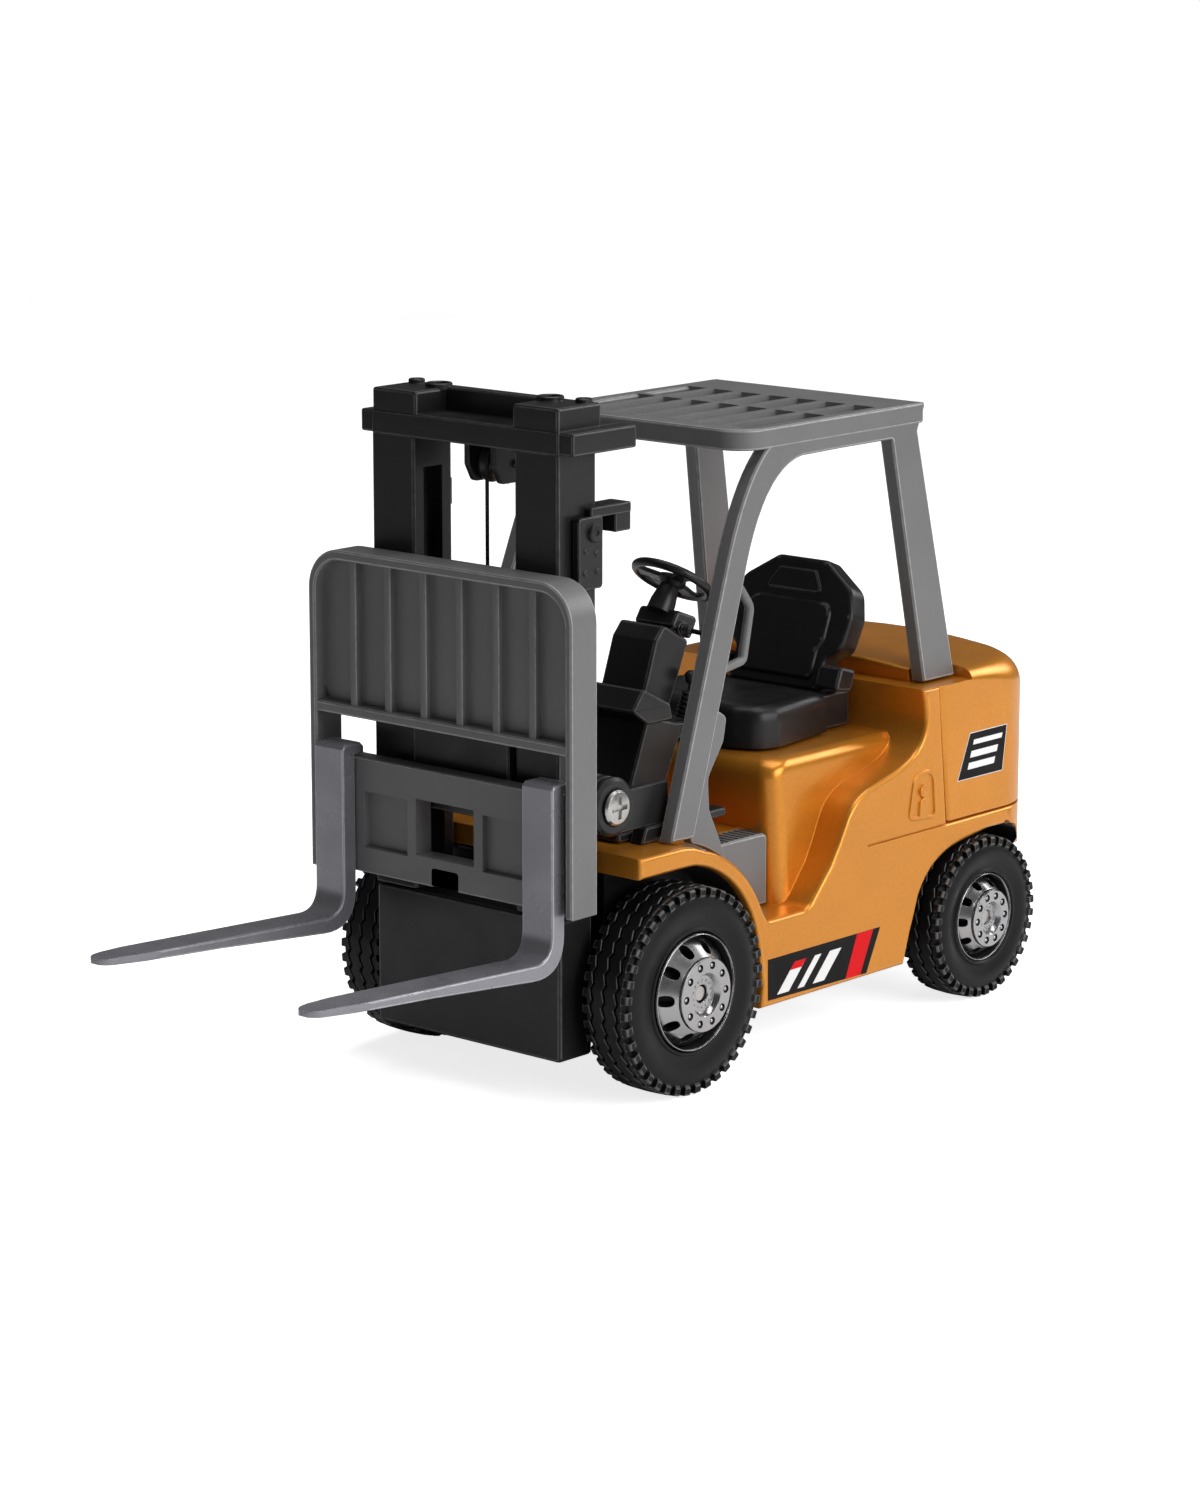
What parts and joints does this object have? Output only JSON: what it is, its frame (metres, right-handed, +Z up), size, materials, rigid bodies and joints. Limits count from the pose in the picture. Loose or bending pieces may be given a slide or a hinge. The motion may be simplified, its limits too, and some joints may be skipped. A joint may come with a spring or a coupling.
{
  "type": "toy forklift truck",
  "caption": "Toy counterbalance forklift: friction-drive chassis, tilting mast, lifting carriage with sliding forks, open cab with seat and slatted overhead guard.",
  "frame": {"origin": "on the ground, under the middle of the overall length and width", "axes": "+X to the driver's left, -Y towards the fork tips, +Z up"},
  "size_m": [0.071, 0.188, 0.1186],
  "materials": {
    "body": "gloss",
    "grey_plastic": "satin",
    "black_plastic": "satin",
    "fork": "satin",
    "tyre": "matte",
    "rim": "satin",
    "steel": "satin",
    "gear": "satin",
    "cord": "matte"
  },
  "bodies": {
    "truck": {"body_shell": "body", "counterweight": "body", "chassis": "black_plastic", "gearbox_left": "black_plastic", "gearbox_right": "black_plastic", "idler_pin": "steel", "base_screw_1": "steel", "base_screw_2": "steel", "base_screw_3": "steel", "base_screw_4": "steel", "cab_floor": "black_plastic", "console": "black_plastic", "column_cover": "black_plastic", "steering_column": "black_plastic", "lever_boot": "black_plastic", "seat_cushion": "black_plastic", "seat_frame": "black_plastic", "seat_back": "black_plastic", "hip_restraint_left": "black_plastic", "hip_restraint_right": "black_plastic", "pivot_arm_left": "black_plastic", "pivot_arm_right": "black_plastic", "overhead_guard": "grey_plastic", "grab_handle_left": "grey_plastic", "grab_handle_right": "grey_plastic", "step_left": "grey_plastic", "step_right": "grey_plastic"},
    "front_wheels": {"front_axle": "steel", "tyre_front_left": "tyre", "tyre_front_right": "tyre", "rim_front_left": "rim", "rim_front_right": "rim"},
    "rear_wheels": {"rear_axle": "steel", "axle_gear": "gear", "tyre_rear_left": "tyre", "tyre_rear_right": "tyre", "rim_rear_left": "rim", "rim_rear_right": "rim"},
    "idler": {"idler_gear": "gear"},
    "flywheel_shaft": {"flywheel": "steel"},
    "mast": {"mast_frame": "black_plastic", "mast_base": "black_plastic", "mast_cap": "black_plastic", "mast_bracket_left": "black_plastic", "mast_bracket_right": "black_plastic", "pivot_disc_left": "black_plastic", "pivot_disc_right": "black_plastic", "pivot_screw_left": "steel", "pivot_screw_right": "steel", "pulley_pin": "steel", "lift_cord": "cord"},
    "pulley_wheel": {"pulley": "black_plastic"},
    "lift": {"carriage": "grey_plastic", "carriage_slider": "black_plastic"},
    "left_fork": {"fork_left": "fork"},
    "right_fork": {"fork_right": "fork"},
    "steering": {"steering_wheel": "black_plastic"},
    "lever": {"gear_lever": "black_plastic"}
  },
  "joints": [
    {"name": "front_wheels_spin", "type": "hinge", "parent": "truck", "child": "front_wheels", "pos_m": [0, -0.01, 0.01805], "axis": [1, 0, 0], "continuous": true},
    {"name": "rear_wheels_spin", "type": "hinge", "parent": "truck", "child": "rear_wheels", "pos_m": [0, 0.0733, 0.01505], "axis": [1, 0, 0], "continuous": true},
    {"name": "idler_spin", "type": "hinge", "parent": "truck", "child": "idler", "pos_m": [0, 0.0641, 0.01769], "axis": [1, 0, 0], "continuous": true},
    {"name": "flywheel_spin", "type": "hinge", "parent": "truck", "child": "flywheel_shaft", "pos_m": [0, 0.0549, 0.02033], "axis": [1, 0, 0], "continuous": true},
    {"name": "mast_tilt", "type": "hinge", "parent": "truck", "child": "mast", "pos_m": [0, -0.0215, 0.0507], "axis": [1, 0, 0], "range_deg": [-6, 4]},
    {"name": "carriage_lift", "type": "slide", "parent": "mast", "child": "lift", "axis": [0, 0, 1], "range_m": [-0.014, 0.03]},
    {"name": "pulley_spin", "type": "hinge", "parent": "mast", "child": "pulley_wheel", "pos_m": [0, -0.022, 0.1061], "axis": [1, 0, 0], "range_deg": [-540, 255]},
    {"name": "left_fork_shift", "type": "slide", "parent": "lift", "child": "left_fork", "axis": [1, 0, 0], "range_m": [-0.006, 0.0008]},
    {"name": "right_fork_shift", "type": "slide", "parent": "lift", "child": "right_fork", "axis": [1, 0, 0], "range_m": [-0.0008, 0.006]},
    {"name": "steering_spin", "type": "hinge", "parent": "truck", "child": "steering", "pos_m": [0, 0.0223, 0.0804], "axis": [0, 0.5563, 0.831], "continuous": true},
    {"name": "gear_lever_tilt", "type": "hinge", "parent": "truck", "child": "lever", "pos_m": [0.0072, 0.018, 0.0576], "axis": [1, 0, 0], "range_deg": [-5, 5]}
  ],
  "couplings": [
    {"joint": "idler_spin", "follows": "rear_wheels_spin", "ratio": -2},
    {"joint": "flywheel_spin", "follows": "rear_wheels_spin", "ratio": 4},
    {"joint": "pulley_spin", "follows": "carriage_lift", "rad_per_m": -312.5}
  ]
}
